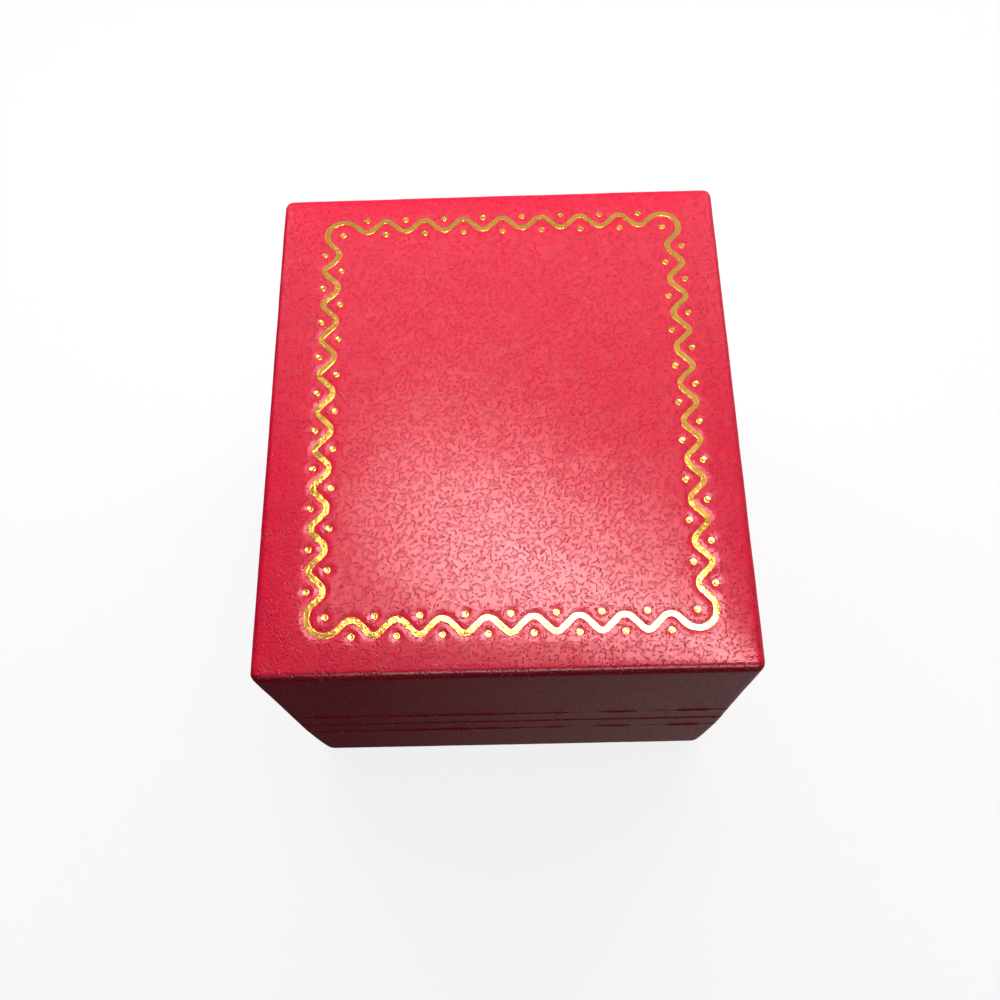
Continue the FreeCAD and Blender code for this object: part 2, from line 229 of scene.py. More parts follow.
class Shader:
    """A Principled material, and short calls for the nodes that feed it."""

    def __init__(self, name, **sockets):
        self.material = bpy.data.materials.new(name)
        self.material.use_nodes = True
        self.nodes = self.material.node_tree.nodes
        self.links = self.material.node_tree.links
        self.bsdf = self.nodes["Principled BSDF"]
        self.coords = self.nodes.new("ShaderNodeTexCoord").outputs["Object"]
        for key, value in sockets.items():
            self.bsdf.inputs[key.replace("_", " ")].default_value = value

    def link(self, value, socket):
        if isinstance(value, (int, float, tuple)):
            socket.default_value = value
        else:
            self.links.new(value, socket)

    def node(self, kind, inputs=None, **settings):
        made = self.nodes.new("ShaderNode" + kind)
        for key, value in settings.items():
            setattr(made, key, value)
        for key, value in (inputs or {}).items():
            self.link(value, made.inputs[key])
        return made

    def noise(self, size, detail=2.0, rough=0.5, distortion=0.0, vector=None):
        """Noise whose largest features are about that many millimetres."""
        made = self.node("TexNoise", {
            "Vector": vector or self.coords, "Scale": 1 / (size * MM), "Detail": detail,
            "Roughness": rough, "Distortion": distortion})
        return made.outputs["Fac"]

    def cells(self, size, feature="F1", vector=None, random=1.0):
        made = self.node("TexVoronoi", {"Vector": vector or self.coords}, feature=feature)
        made.inputs["Scale"].default_value = 1 / (size * MM)
        made.inputs["Randomness"].default_value = random
        return made.outputs["Distance"]

    def ramp(self, value, low, high, to_low=0.0, to_high=1.0):
        """Smooth step of a value from one range to another."""
        made = self.node("MapRange", {
            "Value": value, "From Min": low, "From Max": high, "To Min": to_low, "To Max": to_high})
        made.interpolation_type = "SMOOTHSTEP"
        return made.outputs["Result"]

    def maths(self, operation, first, second=0.0):
        return self.node("Math", {0: first, 1: second}, operation=operation).outputs["Value"]

    def mix(self, factor, first, second):
        made = self.node("Mix", data_type="RGBA")
        self.link(factor, made.inputs["Factor"])
        self.link(first, made.inputs["A"])
        self.link(second, made.inputs["B"])
        return made.outputs["Result"]

    def stretched(self, x, y, z):
        """Object coordinates scaled along each axis."""
        made = self.node("Mapping", {"Vector": self.coords, "Scale": (x, y, z)})
        return made.outputs["Vector"]

    def bump(self, height, depth, strength=1.0):
        """Relief of that many millimetres."""
        made = self.node("Bump", {"Height": height, "Distance": depth * MM, "Strength": strength})
        return made.outputs["Normal"]

    def to(self, **sockets):
        for key, value in sockets.items():
            self.link(value, self.bsdf.inputs[key.replace("_", " ")])
        return self.material


def leather_relief(shader):
    """Flat plateaus broken by small pits and short valleys; returns the height and the hollows."""
    wander = shader.node("TexNoise", {
        "Vector": shader.coords, "Scale": 1 / (0.7 * MM), "Detail": 1.0}).outputs["Color"]
    shift = shader.node("VectorMath", {0: wander, 1: (0.16 * MM,) * 3}, operation="MULTIPLY")
    warp = shader.node("VectorMath", {0: shader.coords, 1: shift.outputs["Vector"]}, operation="ADD")
    vector = warp.outputs["Vector"]
    pits = shader.ramp(shader.cells(0.38, vector=vector, random=0.85), 0.10, 0.32, 1.0, 0.0)
    valleys = shader.ramp(shader.noise(0.36, 1.0, vector=vector), 0.36, 0.43, 1.0, 0.0)
    hollows = shader.maths("MAXIMUM", pits, shader.maths("MULTIPLY", valleys, 0.8))
    fine = shader.maths("MULTIPLY", shader.noise(0.14, 2.0), 0.10)
    swell = shader.maths("MULTIPLY", shader.noise(1.2, 2.0), 0.2)
    height = shader.maths("SUBTRACT", shader.maths("ADD", fine, swell), hollows)
    return height, hollows


def leatherette():
    shader = Shader("leatherette", Specular_IOR_Level=0.24)
    height, hollows = leather_relief(shader)
    colour = shader.mix(shader.noise(9.0, 3.0), (0.84, 0.005, 0.044, 1), (0.87, 0.006, 0.048, 1))
    # Painted shade: the grain's pits and valleys are painted darker than the plateaus.
    colour = shader.mix(shader.maths("MULTIPLY", hollows, 0.35), colour, (0.50, 0.002, 0.026, 1))
    rough = shader.ramp(shader.noise(2.5, 2.0), 0.3, 0.7, 0.25, 0.28)
    return shader.to(Base_Color=colour, Roughness=rough, Normal=shader.bump(height, 0.058, 1.0))


def gold_foil():
    """Bright foil with a few pinholes."""
    shader = Shader("gold_foil", Specular_IOR_Level=0.5)
    crackle = shader.noise(0.26, 3.0, 0.6)
    missing = shader.ramp(crackle, 0.64, 0.68)
    colour = shader.mix(shader.noise(1.2, 2.0), (0.88, 0.42, 0.07, 1), (1.0, 0.57, 0.12, 1))
    colour = shader.mix(missing, colour, (0.35, 0.03, 0.02, 1))
    metal = shader.ramp(missing, 0.2, 0.8, 0.8, 0.0)
    rough = shader.ramp(shader.noise(0.8, 2.0), 0.3, 0.7, 0.13, 0.22)
    height = shader.maths("SUBTRACT", shader.noise(0.34, 2.0), shader.maths("MULTIPLY", missing, 0.3))
    normal = shader.bump(height, 0.03, 0.9)
    return shader.to(Base_Color=colour, Metallic=metal, Roughness=rough, Normal=normal)


def velvet():
    """Short black pile, brushed lighter and darker in places."""
    shader = Shader("velvet", Roughness=0.95, Specular_IOR_Level=0.15,
                    Sheen_Weight=0.55, Sheen_Roughness=0.35)
    shader.bsdf.inputs["Sheen Tint"].default_value = (0.55, 0.56, 0.60, 1)
    brushed = shader.ramp(shader.noise(5.0, 3.0, 0.6), 0.38, 0.62)
    pile = shader.noise(0.12, 2.0)
    colour = shader.mix(brushed, (0.007, 0.007, 0.008, 1), (0.018, 0.018, 0.021, 1))
    colour = shader.mix(shader.ramp(pile, 0.35, 0.65), colour, (0.026, 0.026, 0.030, 1))
    height = shader.maths("ADD", pile, shader.maths("MULTIPLY", brushed, 0.4))
    return shader.to(Base_Color=colour, Normal=shader.bump(height, 0.09, 0.8))


def satin():
    """Ivory satin, its threads running across the box."""
    shader = Shader("satin", Specular_IOR_Level=0.45, Sheen_Weight=0.25, Sheen_Roughness=0.3,
                    Anisotropic=0.4)
    weave = {"Vector": shader.coords, "Scale": 1 / (0.9 * MM), "Distortion": 0.6, "Detail": 1.0}
    threads = shader.node("TexWave", weave, bands_direction="Y").outputs["Fac"]
    slubs = shader.noise(0.5, 2.0, vector=shader.stretched(0.12, 1, 1))
    colour = shader.mix(shader.noise(6.0, 2.0), (0.80, 0.755, 0.66, 1), (0.86, 0.825, 0.74, 1))
    colour = shader.mix(shader.ramp(slubs, 0.55, 0.75, 0.0, 0.35), colour, (0.70, 0.65, 0.55, 1))
    rough = shader.ramp(slubs, 0.3, 0.7, 0.34, 0.46)
    height = shader.maths("ADD", threads, slubs)
    return shader.to(Base_Color=colour, Roughness=rough, Normal=shader.bump(height, 0.02, 0.6))


def steel(name, colour, brighter, roughness):
    """Stamped strip, with fine scratches along it and a few across."""
    shader = Shader(name, Metallic=1.0, Anisotropic=0.35)
    along = shader.noise(0.12, 3.0, 0.7, vector=shader.stretched(0.05, 1, 1))
    across = shader.ramp(shader.noise(0.25, 2.0, vector=shader.stretched(1, 1, 0.08)), 0.66, 0.72)
    shade = shader.mix(shader.noise(1.5, 3.0), colour, brighter)
    shade = shader.mix(shader.maths("MULTIPLY", across, 0.4), shade, brighter)
    rough = shader.ramp(along, 0.3, 0.7, roughness, roughness + 0.18)
    height = shader.maths("ADD", along, across)
    return shader.to(Base_Color=shade, Roughness=rough, Normal=shader.bump(height, 0.01, 0.6))


def moulded_plastic():
    shader = Shader("shell_plastic", Specular_IOR_Level=0.4)
    spark = shader.noise(0.18, 2.0)
    colour = shader.mix(shader.noise(6.0, 3.0), (0.030, 0.005, 0.008, 1), (0.045, 0.008, 0.012, 1))
    rough = shader.ramp(shader.noise(2.0, 2.0), 0.3, 0.7, 0.5, 0.65)
    return shader.to(Base_Color=colour, Roughness=rough, Normal=shader.bump(spark, 0.02, 0.5))


def leather_paper():
    """Embossed paper of the bottom panel."""
    shader = Shader("leather_paper", Specular_IOR_Level=0.35)
    folds = shader.cells(1.1, "DISTANCE_TO_EDGE")
    grain = shader.ramp(folds, 0.0, 0.18)
    # Painted shade: the grooves between the grain's cells are painted darker.
    colour = shader.mix(grain, (0.09, 0.004, 0.012, 1), (0.20, 0.008, 0.022, 1))
    worn = shader.ramp(shader.noise(7.0, 4.0), 0.55, 0.75, 0.0, 0.4)
    colour = shader.mix(worn, colour, (0.27, 0.02, 0.035, 1))
    rough = shader.ramp(shader.noise(3.0, 3.0), 0.3, 0.7, 0.5, 0.62)
    height = shader.maths("ADD", grain, shader.maths("MULTIPLY", shader.noise(0.2, 3.0), 0.3))
    return shader.to(Base_Color=colour, Roughness=rough, Normal=shader.bump(height, 0.05, 0.7))


def grey_card():
    shader = Shader("card", Specular_IOR_Level=0.25)
    fibres = shader.noise(0.3, 4.0, 0.7, vector=shader.stretched(0.35, 1, 1))
    colour = shader.mix(fibres, (0.26, 0.22, 0.16, 1), (0.42, 0.37, 0.29, 1))
    specks = shader.ramp(shader.noise(0.6, 2.0), 0.70, 0.74, 0.0, 0.6)
    colour = shader.mix(specks, colour, (0.12, 0.10, 0.08, 1))
    rough = shader.ramp(fibres, 0.3, 0.7, 0.8, 0.95)
    return shader.to(Base_Color=colour, Roughness=rough, Normal=shader.bump(fibres, 0.03, 0.6))


def open_foam():
    shader = Shader("foam", Specular_IOR_Level=0.2, Subsurface_Weight=0.1)
    pores = shader.ramp(shader.cells(0.35), 0.1, 0.5)
    # Painted shade: the pores are painted darker than the foam around them.
    colour = shader.mix(pores, (0.50, 0.48, 0.42, 1), (0.74, 0.72, 0.66, 1))
    rough = shader.ramp(shader.noise(1.0, 2.0), 0.3, 0.7, 0.85, 0.95)
    return shader.to(Base_Color=colour, Roughness=rough, Normal=shader.bump(pores, 0.08, 0.8))


# Mesh tools

def mesh_object(name, points, faces, material, smooth=True):
    """Object from an array of points in millimetres."""
    mesh = bpy.data.meshes.new(name)
    mesh.from_pydata((np.asarray(points) * MM).tolist(), [], faces)
    mesh.validate()
    mesh.polygons.foreach_set("use_smooth", [smooth] * len(mesh.polygons))
    mesh.update()
    made = bpy.data.objects.new(name, mesh)
    bpy.context.scene.collection.objects.link(made)
    mesh.materials.append(material)
    return made


def smooth_step(value, low, high):
    t = np.clip((value - low) / (high - low), 0, 1)
    return t * t * (3 - 2 * t)


def hashed(cells, seed):
    """Repeatable random number from 0 to 1 for each whole-number cell."""
    value = np.zeros(len(cells))
    for axis, factor in enumerate((127.1, 311.7, 74.7)):
        value = value + cells[:, axis] * factor
    value = np.sin(value + seed * 17.3) * 43758.5453
    return value - np.floor(value)


def value_noise(points, size, seed):
    """Smooth noise from -1 to 1 with features of that size."""
    scaled = points / size + 100.0
    base = np.floor(scaled)
    blend = scaled - base
    blend = blend * blend * (3 - 2 * blend)
    total = np.zeros(len(points))
    for corner in range(8):
        step = np.array([corner & 1, corner >> 1 & 1, corner >> 2 & 1])
        weight = np.prod(np.where(step, blend, 1 - blend), axis=1)
        total = total + weight * hashed(base + step, seed)
    return total * 2 - 1


def side_points(half_along, half_out, radius, count):
    """Evenly spaced points of one side, from the middle of one rounded corner to the next."""
    arc = radius * math.pi / 4
    straight = 2 * (half_along - radius)
    t = np.linspace(0, straight + 2 * arc, count + 1)[:-1]
    along = np.clip(t - arc, 0, straight) - (half_along - radius)
    turn = np.zeros(count)
    if radius > 0:
        turn = np.where(t < arc, (t - arc) / radius, 0)
        turn = np.where(t > arc + straight, (t - arc - straight) / radius, turn)
    return along + radius * np.sin(turn), half_out - radius + radius * np.cos(turn)


def ring(inset, counts, corner_r=CORNER_R):
    """Points round the box at one inset, anticlockwise from the front left corner."""
    half_x = WIDTH / 2 - inset
    half_y = DEPTH / 2 - inset
    radius = max(corner_r - inset, 0.0)
    if inset > INNER_FACE - INNER_CORNER_R - 1e-6:
        radius = INNER_CORNER_R
    points = []
    for side in range(4):
        along_x = side % 2 == 0
        size = (half_x, half_y) if along_x else (half_y, half_x)
        along, out = side_points(*size, radius, counts[side % 2])
        angle = side * math.pi / 2
        points.append(np.stack([
            along * math.cos(angle) + out * math.sin(angle),
            along * math.sin(angle) - out * math.cos(angle)], axis=1))
    return np.concatenate(points)


def crown_z(xy):
    """Height of the lid's slightly domed top."""
    half = np.array([WIDTH / 2, DEPTH / 2])
    dome = np.clip(1 - (xy / half) ** 2, 0, None)
    edge = 1 - np.clip(1 - (half - np.abs(xy)) / EDGE_BAND, 0, None) ** 2
    rise = TOP_Z - EDGE_Z - EDGE_FALL
    return EDGE_Z + rise * dome[:, 0] * dome[:, 1] + EDGE_FALL * edge[:, 0] * edge[:, 1]


def rim_height(xy):
    """How far the rim lies back from the plain rim level, at the bevels and the hinge's groove."""
    back = xy[:, 1] - HINGE_Y
    at_rear = xy[:, 1] > DEPTH / 2 - INNER_FACE - 0.01
    plain = LID_RIM_Z - SEAM_Z
    rise = np.where(at_rear & (back > 0), back * BEVEL_SLOPE, 0)
    groove = np.sqrt(np.clip(GROOVE_R ** 2 - back ** 2, 0, None))
    in_groove = at_rear & (np.abs(xy[:, 0]) < GROOVE_HALF_X) & (np.abs(back) < GROOVE_R)
    rise = np.where(in_groove, np.maximum(rise, groove), rise)
    return np.maximum(rise - plain, 0) * np.where(at_rear, 1, 0)


RIM_STEPS = (
    # inset, rise above the rim
    (0.0, 0.45), (0.0, 0.28), (0.06, 0.12), (0.16, 0.03), (0.3, 0.0), (0.55, 0.0), (0.8, 0.0),
    (1.05, 0.0), (1.3, 0.0), (1.55, 0.0), (1.8, 0.0), (2.05, 0.0), (2.25, 0.03), (2.35, 0.1),
    (2.4, 0.25), (2.4, 1.2), (2.4, 2.4), (2.4, TURN_IN - 0.15), (2.33, TURN_IN), (2.1, TURN_IN),
)


def rim_rings(counts, facing):
    """Rings over a rim and up its inner side; facing is 1 for the lid and -1 for the base."""
    rings = []
    for inset, rise in RIM_STEPS:
        xy = ring(inset, counts)
        level = LID_RIM_Z + rise + rim_height(xy)
        behind_leaf = (xy[:, 1] > 0) & (np.abs(xy[:, 0]) < GROOVE_HALF_X) & (inset > LEAF_ROOM)
        pushed = np.where(behind_leaf, np.maximum(xy[:, 1], DEPTH / 2 - LEAF_ROOM), xy[:, 1])
        xy = np.stack([xy[:, 0], pushed], axis=1)
        z = level if facing > 0 else 2 * SEAM_Z - level
        rings.append(np.column_stack([xy, z]))
    return rings


def stitched_rings(rings, start, count, outward):
    """Quads between rings of the same number of points, the first one starting at index start."""
    faces = []
    for number in range(len(rings) - 1):
        a = start + number * count
        b = a + count
        for i in range(count):
            j = (i + 1) % count
            quad = (a + i, b + i, b + j, a + j)
            faces.append(quad if outward else quad[::-1])
    return faces


def level_rows(high, low, crease):
    """Heights from high to low, closer together round the crease."""
    near_high = crease + CREASE_ROOM
    near_low = crease - CREASE_ROOM
    upper = np.linspace(high, near_high, max(2, int(abs(high - near_high) / ROW_STEP)))[:-1]
    middle = np.linspace(near_high, near_low, int(2 * CREASE_ROOM / CREASE_STEP))
    lower = np.linspace(near_low, low, max(2, int(abs(near_low - low) / ROW_STEP)))[1:]
    return np.concatenate([upper, middle, lower])


def displaced(points, faces, extra):
    """Moves points along their normals by a height in millimetres."""
    mesh = bpy.data.meshes.new("scratch")
    mesh.from_pydata(points.tolist(), [], faces)
    mesh.update()
    normals = np.zeros(len(points) * 3, np.float32)
    mesh.vertices.foreach_get("normal", normals)
    bpy.data.meshes.remove(mesh)
    return points + normals.reshape(-1, 3) * extra[:, None]


def board_waves(points):
    """Low waves of the leatherette over its board."""
    return 0.030 * value_noise(points, 7.0, 1) + 0.014 * value_noise(points, 2.6, 2)


def grain_height(points):
    """The low waves, with soft pebbles on them."""
    pebbles = 0.005 * value_noise(points, 0.9, 3) + 0.006 * value_noise(points, 0.55, 4)
    return board_waves(points) + pebbles


def past_walls(points):
    """How far points lie outside the box's plain walls; inside them it is below zero."""
    return np.maximum(np.abs(points[:, 0]) - WIDTH / 2, np.abs(points[:, 1]) - DEPTH / 2)


def crease_height(points, crease_z):
    """Fine broken ledge that runs round the side walls and fades out below."""
    level = points * np.array([1, 1, 0])
    wander = 0.06 * value_noise(level, 6.0, 5)
    strength = 0.65 + 0.6 * value_noise(level, 4.0, 6) + 0.4 * value_noise(level, 1.1, 10)
    strength = np.clip(strength, 0, None)
    below = crease_z + wander - points[:, 2]
    ledge = smooth_step(below, -0.04, 0.04) * np.exp(-(np.clip(below, 0, None) / 0.5) ** 2)
    return CREASE_RISE * strength * ledge * (past_walls(points) > -0.2)


# Gold border

def border_place(side, along, outward):
    """Point of the border's side: along it, and outward from the inner row of dots."""
    half_x = FIRST_DOT + (DOTS_ACROSS - 1) / 2 * DOT_PITCH
    half_y = FIRST_DOT + (DOTS_ALONG - 1) / 2 * DOT_PITCH
    away = half_y if side % 2 == 0 else half_x
    angle = side * math.pi / 2
    x, y = along, -away - outward
    return BORDER_CENTRE + np.array([
        x * math.cos(angle) - y * math.sin(angle), x * math.sin(angle) + y * math.cos(angle)])


def border_side(side):
    count = DOTS_ACROSS if side % 2 == 0 else DOTS_ALONG
    return FIRST_DOT + (count - 1) / 2 * DOT_PITCH, count


def wave_line():
    """Points along the wave's centre line, and the outward direction at each."""
    sin_45 = math.sin(math.radians(45))
    inner_crest = (math.sqrt(2) * CORNER_LOBE_R - (FIRST_DOT - DOT_PITCH / 2)
                   + INNER_CREST_R * (2 * sin_45 - 1))
    flank = DOT_PITCH / 2 / sin_45 - INNER_CREST_R - OUTER_CREST_R
    height = (INNER_CREST_R + OUTER_CREST_R) * (1 - sin_45) + flank * sin_45
    outer_crest = inner_crest + height
    points = []

    def arc(side, along, outward, radius, low, high, facing):
        count = max(4, int(radius * math.radians(high - low) / WAVE_STEP))
        for angle in np.radians(np.linspace(low, high, count)):
            points.append(border_place(
                side, along + radius * math.sin(angle), outward + facing * radius * math.cos(angle)))

    for side in range(4):
        half, count = border_side(side)
        for number in range(count + 1):
            along = -half + FIRST_DOT + (number - 0.5) * DOT_PITCH
            arc(side, along, inner_crest + INNER_CREST_R, INNER_CREST_R, -45, 45, -1)
            if number < count:
                arc(side, along + DOT_PITCH / 2, outer_crest - OUTER_CREST_R, OUTER_CREST_R, -45, 45, 1)
        arc(side, half, 0, CORNER_LOBE_R, -45, 135, 1)
    corners = np.array(points)
    following = np.roll(corners, -1, axis=0)
    line = []
    for here, there in zip(corners, following):
        length = np.linalg.norm(there - here)
        parts = max(1, round(length / WAVE_STEP))
        for part in range(parts):
            line.append(here + (there - here) * part / parts)
    line = np.array(line)
    tangent = np.roll(line, -1, axis=0) - np.roll(line, 1, axis=0)
    tangent = tangent / np.linalg.norm(tangent, axis=1)[:, None]
    return line, np.stack([tangent[:, 1], -tangent[:, 0]], axis=1)


def dot_centres():
    centres = []
    for side in range(4):
        half, count = border_side(side)
        centres.append(border_place(side, half, 0))
        for number in range(count):
            centres.append(border_place(side, -half + FIRST_DOT + number * DOT_PITCH, 0))
        for number in range(count + 1):
            along = -half + FIRST_DOT + (number - 0.5) * DOT_PITCH
            centres.append(border_place(side, along, OUTER_DOT_ROW))
    return np.array(centres)


WAVE_LINE, WAVE_OUT = wave_line()
DOTS = dot_centres()
STAMP_DEPTH = 0.025            # of the foil below the leatherette
STAMP_BED = 0.05               # more, of the leatherette below the foil


def distance_to(points, places):
    tree = KDTree(len(places))
    for index, place in enumerate(places):
        tree.insert((place[0], place[1], 0), index)
    tree.balance()
    return np.array([tree.find((p[0], p[1], 0))[2] for p in points])


def stamp_height(points):
    """The bed that the hot stamp pressed into the leatherette."""
    result = np.zeros(len(points))
    on_top = points[:, 2] > TOP_Z - 2.0
    near_line = distance_to(points[on_top], WAVE_LINE)
    near_dot = distance_to(points[on_top], DOTS)
    bed = STAMP_DEPTH + STAMP_BED
    line_bed = 1 - smooth_step(near_line, STROKE / 2 + 0.02, STROKE / 2 + 0.34)
    dot_bed = 1 - smooth_step(near_dot, DOT_R + 0.02, DOT_R + 0.34)
    result[on_top] = -bed * np.maximum(line_bed, dot_bed)
    return result


def lid_leatherette(material):
    band = 3.0
    spacing = 0.26
    counts = (int((WIDTH - 2 * band) / spacing), int((DEPTH - 2 * band) / spacing))
    total = 2 * sum(counts)
    x = np.linspace(-WIDTH / 2 + band, WIDTH / 2 - band, counts[0] + 1)
    y = np.linspace(-DEPTH / 2 + band, DEPTH / 2 - band, counts[1] + 1)
    grid = np.array([(i, j) for j in y for i in x])
    grid = np.column_stack([grid, crown_z(grid)])
    wide = counts[0] + 1

    faces = []
    for j in range(counts[1]):
        for i in range(counts[0]):
            a = j * wide + i
            faces.append((a, a + 1, a + 1 + wide, a + wide))
    edge = list(range(counts[0]))
    edge += [j * wide + counts[0] for j in range(counts[1])]
    edge += [counts[1] * wide + i for i in range(counts[0], 0, -1)]
    edge += [j * wide for j in range(counts[1], 0, -1)]

    rings = []
    for inset in np.linspace(band, TOP_EDGE_R, 7)[1:]:
        xy = ring(inset, counts)
        rings.append(np.column_stack([xy, crown_z(xy)]))
    for angle in np.radians(np.linspace(0, 90, 10)[1:]):
        xy = ring(TOP_EDGE_R * (1 - math.sin(angle)), counts)
        rings.append(np.column_stack([xy, crown_z(xy) - TOP_EDGE_R * (1 - math.cos(angle))]))
    rim = rim_rings(counts, 1)
    wall_low = rim[0][:, 2]
    xy = ring(0, counts)
    rows = level_rows(EDGE_Z - TOP_EDGE_R, LID_RIM_Z + RIM_BAND, SEAM_Z + CREASE_FROM_SEAM)
    for row in rows[1:-1]:
        share = (row - rows[-1]) / (rows[0] - rows[-1])
        raised = np.maximum(wall_low + 0.3 - rows[-1], 0)
        rings.append(np.column_stack([xy, row + raised * (1 - smooth_step(share, 0.0, 0.12))]))
    rings.extend(rim)

    points = np.concatenate([grid] + rings)
    start = len(grid)
    for i in range(total):
        j = (i + 1) % total
        faces.append((edge[i], start + i, start + j, edge[j]))
    faces.extend(stitched_rings(rings, start, total, True))
    height = grain_height(points) + stamp_height(points)
    height = height + crease_height(points, SEAM_Z + CREASE_FROM_SEAM)
    inner_side = past_walls(points) < -0.3
    height[inner_side & (points[:, 2] < 30)] *= 0.3
    points = displaced(points, faces, height)
    lid = mesh_object("lid_leatherette", points, faces, material)
    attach(lid, "lid")
    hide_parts("lid_wrap")
    return lid


def foot_ring(inset, level, counts):
    """Level ring with the foot's rounder corners."""
    xy = ring(inset, counts, FOOT_CORNER_R)
    return np.column_stack([xy, np.full(len(xy), level)])


def base_leatherette(material):
    spacing = 0.3
    counts = (int(WIDTH / spacing), int(DEPTH / spacing))
    total = 2 * sum(counts)
    rings = []
    for inset, lift in ((TURN_UNDER, SKIN), (TURN_UNDER, 0.05), (TURN_UNDER - 0.1, 0.0)):
        rings.append(foot_ring(inset, BASE_LOW_Z + lift, counts))
    for inset in np.linspace(TURN_UNDER - 0.6, BOTTOM_EDGE_R, 9):
        rings.append(foot_ring(inset, BASE_LOW_Z, counts))
    for angle in np.radians(np.linspace(90, 0, 10)[1:]):
        level = BASE_LOW_Z + BOTTOM_EDGE_R * (1 - math.sin(angle))
        rings.append(foot_ring(BOTTOM_EDGE_R * (1 - math.cos(angle)), level, counts))
    rim = rim_rings(counts, -1)
    wall_high = rim[0][:, 2]
    low = BASE_LOW_Z + BOTTOM_EDGE_R
    rows = level_rows(BASE_RIM_Z - RIM_BAND, low, SEAM_Z - CREASE_FROM_SEAM)[::-1]
    for row in rows[1:-1]:
        share = (row - rows[0]) / (rows[-1] - rows[0])
        xy = ring(0, counts, CORNER_R + (FOOT_CORNER_R - CORNER_R) * (1 - share) ** 2)
        lowered = np.maximum(rows[-1] - (wall_high - 0.3), 0)
        rings.append(np.column_stack([xy, row - lowered * smooth_step(share, 0.75, 1.0)]))
    rings.extend(rim)
    points = np.concatenate(rings)
    faces = stitched_rings(rings, 0, total, False)
    height = grain_height(points) + crease_height(points, SEAM_Z - CREASE_FROM_SEAM)
    inner_side = past_walls(points) < -0.3
    height[inner_side] *= 0.3
    near_floor = points[:, 2] < BASE_LOW_Z + 0.5
    height[near_floor] = np.maximum(height[near_floor], 0) * 0.2
    points = displaced(points, faces, height)
    base = mesh_object("base_leatherette", points, faces, material)
    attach(base, "base")
    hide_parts("base_wrap")
    return base


def surface_z(xy):
    """Height of the lid's top surface without the stamp."""
    points = np.column_stack([xy, crown_z(xy)])
    return points[:, 2] + board_waves(points)


def foil_wave(material):
    """Foil ribbon that lies in its bed, its edges sunk in the leatherette."""
    across = np.array([-1.0, -0.95, -0.85, -0.4, 0.0, 0.4, 0.85, 0.95, 1.0])
    depth = np.array([0.06, 0.0, 0.0, 0.0, 0.0, 0.0, 0.0, 0.0, 0.06])
    line3 = np.column_stack([WAVE_LINE, np.zeros(len(WAVE_LINE))])
    width = STROKE / 2 * (1 + 0.06 * value_noise(line3, 1.2, 7))
    rows = []
    for share, drop in zip(across, depth):
        ragged = 1 + 0.05 * value_noise(line3, 0.35, 8 + share) * (abs(share) > 0.9)
        xy = WAVE_LINE + WAVE_OUT * (width * share * ragged)[:, None]
        crinkle = 0.003 * value_noise(np.column_stack([xy, np.zeros(len(xy))]), 0.45, 9)
        rows.append(np.column_stack([xy, surface_z(xy) - STAMP_DEPTH - drop + crinkle]))
    points = np.concatenate(rows)
    count = len(WAVE_LINE)
    faces = []
    for row in range(len(across) - 1):
        for i in range(count):
            j = (i + 1) % count
            a, b = row * count, (row + 1) * count
            faces.append((a + i, b + i, b + j, a + j))
    foil = mesh_object("gold_foil_line", points, faces, material)
    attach(foil, "lid")
    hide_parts("gold_foil_wave")


def foil_dots(material):
    """Foil dots, each a small dish."""
    sectors = 20
    levels = ((0.0, 0.03), (0.25, 0.028), (0.5, 0.021), (0.75, 0.008), (0.92, 0.0), (1.0, 0.05))
    points = []
    faces = []
    for centre in DOTS:
        first = len(points)
        level = surface_z(centre[None, :])[0] - STAMP_DEPTH
        points.append((centre[0], centre[1], level - levels[0][1]))
        for share, drop in levels[1:]:
            for sector in range(sectors):
                angle = sector * 2 * math.pi / sectors
                radius = DOT_R * share * (1 + 0.03 * math.sin(3 * angle + centre[0]))
                points.append((centre[0] + radius * math.cos(angle),
                               centre[1] + radius * math.sin(angle), level - drop))
        for sector in range(sectors):
            following = (sector + 1) % sectors
            faces.append((first, first + 1 + sector, first + 1 + following))
            for number in range(len(levels) - 2):
                a = first + 1 + number * sectors
                b = a + sectors
                faces.append((a + sector, b + sector, b + following, a + following))
    foil = mesh_object("gold_foil_points", points, faces, material)
    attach(foil, "lid")
    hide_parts("gold_foil_dots")


# Padded pieces

SIM_SCALE = 12                 # the cloth is simulated this many times larger
VOXEL = 0.5
FRAMES = 20


def block_mesh(low, high, edge_r, upright_r, top):
    """Remeshed block in millimetres, rounded on its upper (top 1) or lower (top -1) edges."""
    work = bmesh.new()
    bmesh.ops.create_cube(work, size=1.0)
    size = high - low
    centre = (high + low) / 2
    for vert in work.verts:
        vert.co = Vector(centre + np.array(vert.co) * size)
    uprights = [e for e in work.edges if abs(e.verts[0].co.z - e.verts[1].co.z) > 1e-4]
    bmesh.ops.bevel(work, geom=uprights, offset=upright_r, segments=5, profile=0.5, affect="EDGES")
    level = high[2] if top > 0 else low[2]
    rim = [e for e in work.edges if all(abs(v.co.z - level) < 1e-4 for v in e.verts)]
    bmesh.ops.bevel(work, geom=rim, offset=edge_r, segments=8, profile=0.5, affect="EDGES")
    mesh = bpy.data.meshes.new("block")
    work.to_mesh(mesh)
    work.free()
    return mesh


def evaluated_mesh(made):
    depsgraph = bpy.context.evaluated_depsgraph_get()
    return bpy.data.meshes.new_from_object(made.evaluated_get(depsgraph))


def mesh_points(mesh):
    values = np.zeros(len(mesh.vertices) * 3, np.float32)
    mesh.vertices.foreach_get("co", values)
    return values.reshape(-1, 3).astype(float)


def set_points(mesh, points):
    mesh.vertices.foreach_set("co", np.asarray(points, np.float32).ravel())
    mesh.update()


